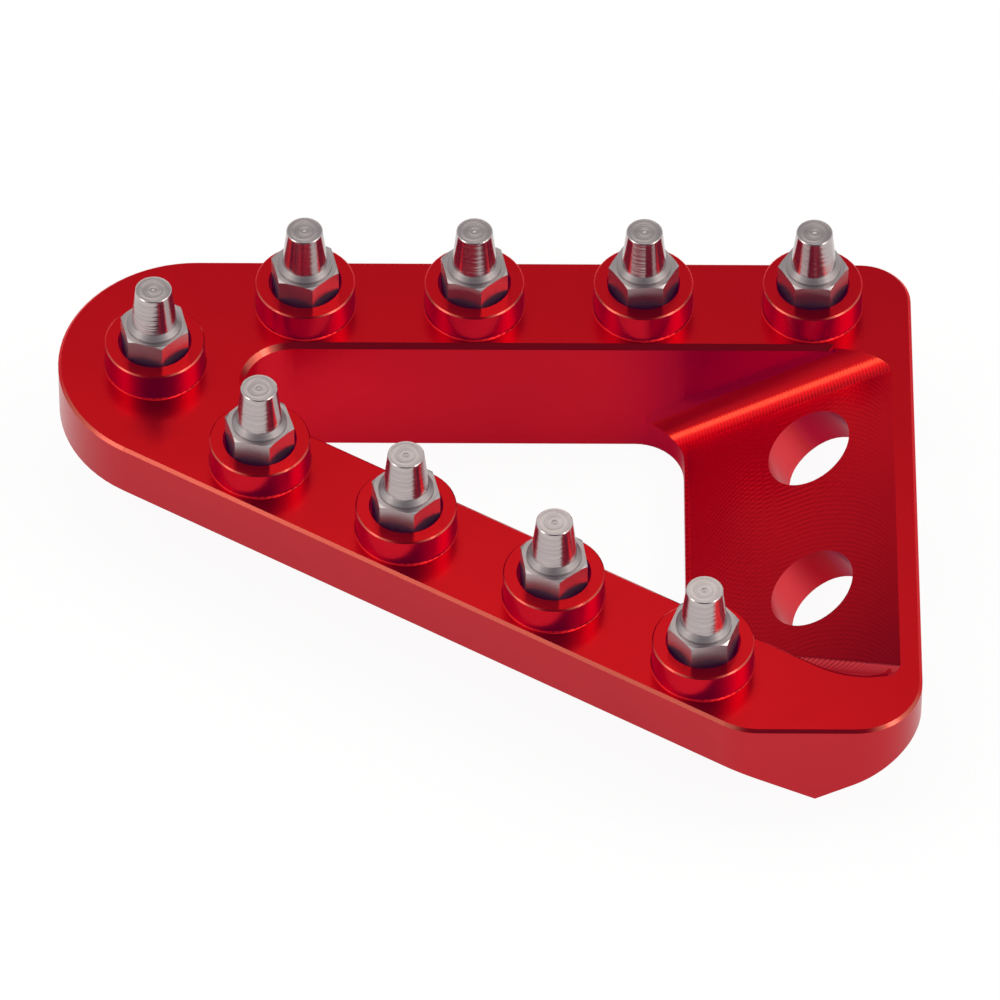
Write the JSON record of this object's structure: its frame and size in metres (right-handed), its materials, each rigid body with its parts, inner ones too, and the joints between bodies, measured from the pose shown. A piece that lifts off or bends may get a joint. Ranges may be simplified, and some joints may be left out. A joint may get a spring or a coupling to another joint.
{
  "type": "brake pedal extension",
  "caption": "Triangular ring plate with raised collars that hold spiked hexagon studs and an inclined web with bolt holes; bolts on to widen a motorcycle brake pedal's tread.",
  "frame": {"origin": "on the inclined mounting face under the web, midway between its two bolt holes", "axes": "+X from the rounded tip to the mounting end, along the straight back rail; +Y towards that back rail; +Z the way the studs point"},
  "size_m": [0.0769, 0.0559, 0.023],
  "materials": {
    "anodised_red": "satin red anodised, machined",
    "stainless": "turned, plain"
  },
  "bodies": {
    "root": {"pedal_plate": "anodised_red", "stud_tip": "stainless", "stud_back_1": "stainless", "stud_back_2": "stainless", "stud_back_3": "stainless", "stud_back_4": "stainless", "stud_front_1": "stainless", "stud_front_2": "stainless", "stud_front_3": "stainless", "stud_front_4": "stainless"}
  },
  "joints": []
}
